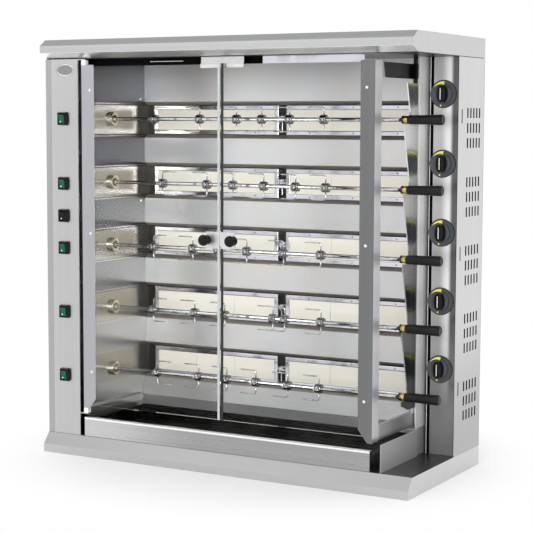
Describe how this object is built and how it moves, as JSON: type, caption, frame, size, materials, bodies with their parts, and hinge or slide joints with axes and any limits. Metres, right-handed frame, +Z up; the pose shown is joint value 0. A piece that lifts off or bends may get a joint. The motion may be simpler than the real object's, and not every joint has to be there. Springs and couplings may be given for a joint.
{
  "type": "gas rotisserie oven",
  "caption": "Free-standing gas rotisserie oven in stainless steel: spits with forks turn before ceramic burners, behind two glass doors, over a sliding drip tray.",
  "frame": {"origin": "the middle of the plinth's footprint, on the surface that the oven stands on", "axes": "+X to the cook's right, +Y to the back of the oven, +Z up"},
  "size_m": [1.1773, 0.4923, 1.205],
  "materials": {
    "brushed_steel": "satin brushed stainless steel sheet",
    "polished_steel": "bright annealed stainless steel, mirror-like",
    "dark_steel": "dark polished stainless steel",
    "bright_steel": "bright plated steel, heat-worn",
    "painted_housing": "grey painted gearbox housings",
    "brass_fittings": "plain brass gas fittings",
    "burner_ceramic": "cream infrared burner tiles in a steel frame",
    "black_plastic": "black heat-resistant phenolic",
    "green_plastic": "translucent green rocker",
    "black_rubber": "black silicone edge seal",
    "door_glass": "clear toughened glass"
  },
  "bodies": {
    "cabinet": {"plinth": "brushed_steel", "hood_canopy": "brushed_steel", "cavity_ceiling": "polished_steel", "left_side_panel": "brushed_steel", "switch_panel": "brushed_steel", "left_inner_wall": "polished_steel", "right_partition": "polished_steel", "knob_panel": "dark_steel", "right_side_panel": "brushed_steel", "rear_cover": "brushed_steel", "back_reflector": "polished_steel", "drip_deflector": "polished_steel", "spit_rack": "dark_steel", "gear_motors": "painted_housing", "gas_manifold": "brass_fittings", "left_burner_1": "burner_ceramic", "right_burner_1": "burner_ceramic", "left_burner_2": "burner_ceramic", "right_burner_2": "burner_ceramic", "left_burner_3": "burner_ceramic", "right_burner_3": "burner_ceramic", "left_burner_4": "burner_ceramic", "right_burner_4": "burner_ceramic", "left_burner_5": "burner_ceramic", "right_burner_5": "burner_ceramic"},
    "left_door": {"left_door_frame": "brushed_steel", "left_door_glass": "door_glass", "left_door_seal": "black_rubber", "left_door_knob": "black_plastic"},
    "right_door": {"right_door_frame": "brushed_steel", "right_door_glass": "door_glass", "right_door_seal": "black_rubber", "right_door_knob": "black_plastic"},
    "drip_tray": {"drip_tray": "brushed_steel"},
    "spit_assembly_1": {"spit_drive_hub_1": "bright_steel", "spit_1": "bright_steel", "spit_handle_1": "black_plastic"},
    "spit_assembly_2": {"spit_drive_hub_2": "bright_steel", "spit_2": "bright_steel", "spit_handle_2": "black_plastic"},
    "spit_assembly_3": {"spit_drive_hub_3": "bright_steel", "spit_3": "bright_steel", "spit_handle_3": "black_plastic"},
    "spit_assembly_4": {"spit_drive_hub_4": "bright_steel", "spit_4": "bright_steel", "spit_handle_4": "black_plastic"},
    "spit_assembly_5": {"spit_drive_hub_5": "bright_steel", "spit_5": "bright_steel", "spit_handle_5": "black_plastic"},
    "gas_knob_1": {"gas_knob_1": "black_plastic"},
    "gas_knob_2": {"gas_knob_2": "black_plastic"},
    "gas_knob_3": {"gas_knob_3": "black_plastic"},
    "gas_knob_4": {"gas_knob_4": "black_plastic"},
    "gas_knob_5": {"gas_knob_5": "black_plastic"},
    "rocker_switch_1": {"rocker_switch_1": "green_plastic"},
    "rocker_switch_2": {"rocker_switch_2": "green_plastic"},
    "rocker_switch_3": {"rocker_switch_3": "green_plastic"},
    "rocker_switch_4": {"rocker_switch_4": "green_plastic"},
    "rocker_switch_5": {"rocker_switch_5": "green_plastic"},
    "light_switch": {"light_switch": "black_plastic"}
  },
  "joints": [
    {"name": "left_door_hinge", "type": "hinge", "parent": "cabinet", "child": "left_door", "pos_m": [-0.454, -0.212, 0.64], "axis": [0, 0, -1], "range_deg": [0, 100]},
    {"name": "right_door_hinge", "type": "hinge", "parent": "cabinet", "child": "right_door", "pos_m": [0.476, 0.022, 0.64], "axis": [0, 0, 1], "range_deg": [0, 95]},
    {"name": "drip_tray_slide", "type": "slide", "parent": "cabinet", "child": "drip_tray", "axis": [0, -1, 0], "range_m": [0, 0.28]},
    {"name": "spit_1_turn", "type": "hinge", "parent": "cabinet", "child": "spit_assembly_1", "pos_m": [0, -0.05, 0.979], "axis": [1, 0, 0], "continuous": true},
    {"name": "spit_2_turn", "type": "hinge", "parent": "cabinet", "child": "spit_assembly_2", "pos_m": [0, -0.05, 0.792], "axis": [1, 0, 0], "continuous": true},
    {"name": "spit_3_turn", "type": "hinge", "parent": "cabinet", "child": "spit_assembly_3", "pos_m": [0, -0.05, 0.605], "axis": [1, 0, 0], "continuous": true},
    {"name": "spit_4_turn", "type": "hinge", "parent": "cabinet", "child": "spit_assembly_4", "pos_m": [0, -0.05, 0.418], "axis": [1, 0, 0], "continuous": true},
    {"name": "spit_5_turn", "type": "hinge", "parent": "cabinet", "child": "spit_assembly_5", "pos_m": [0, -0.05, 0.231], "axis": [1, 0, 0], "continuous": true},
    {"name": "gas_knob_1_turn", "type": "hinge", "parent": "cabinet", "child": "gas_knob_1", "pos_m": [0.5385, 0.0672, 1.049], "axis": [0, -1, 0], "range_deg": [0, 210]},
    {"name": "gas_knob_2_turn", "type": "hinge", "parent": "cabinet", "child": "gas_knob_2", "pos_m": [0.5385, 0.0672, 0.8605], "axis": [0, -1, 0], "range_deg": [0, 210]},
    {"name": "gas_knob_3_turn", "type": "hinge", "parent": "cabinet", "child": "gas_knob_3", "pos_m": [0.5385, 0.0672, 0.672], "axis": [0, -1, 0], "range_deg": [0, 210]},
    {"name": "gas_knob_4_turn", "type": "hinge", "parent": "cabinet", "child": "gas_knob_4", "pos_m": [0.5385, 0.0672, 0.4835], "axis": [0, -1, 0], "range_deg": [0, 210]},
    {"name": "gas_knob_5_turn", "type": "hinge", "parent": "cabinet", "child": "gas_knob_5", "pos_m": [0.5385, 0.0672, 0.295], "axis": [0, -1, 0], "range_deg": [0, 210]},
    {"name": "rocker_switch_1_tilt", "type": "hinge", "parent": "cabinet", "child": "rocker_switch_1", "pos_m": [-0.5255, -0.223, 0.979], "axis": [-1, 0, 0], "range_deg": [0, 14]},
    {"name": "rocker_switch_2_tilt", "type": "hinge", "parent": "cabinet", "child": "rocker_switch_2", "pos_m": [-0.5255, -0.223, 0.792], "axis": [-1, 0, 0], "range_deg": [0, 14]},
    {"name": "rocker_switch_3_tilt", "type": "hinge", "parent": "cabinet", "child": "rocker_switch_3", "pos_m": [-0.5255, -0.223, 0.605], "axis": [-1, 0, 0], "range_deg": [0, 14]},
    {"name": "rocker_switch_4_tilt", "type": "hinge", "parent": "cabinet", "child": "rocker_switch_4", "pos_m": [-0.5255, -0.223, 0.418], "axis": [-1, 0, 0], "range_deg": [0, 14]},
    {"name": "rocker_switch_5_tilt", "type": "hinge", "parent": "cabinet", "child": "rocker_switch_5", "pos_m": [-0.5255, -0.223, 0.231], "axis": [-1, 0, 0], "range_deg": [0, 14]},
    {"name": "light_switch_tilt", "type": "hinge", "parent": "cabinet", "child": "light_switch", "pos_m": [-0.5255, -0.223, 0.6985], "axis": [-1, 0, 0], "range_deg": [0, 14]}
  ]
}
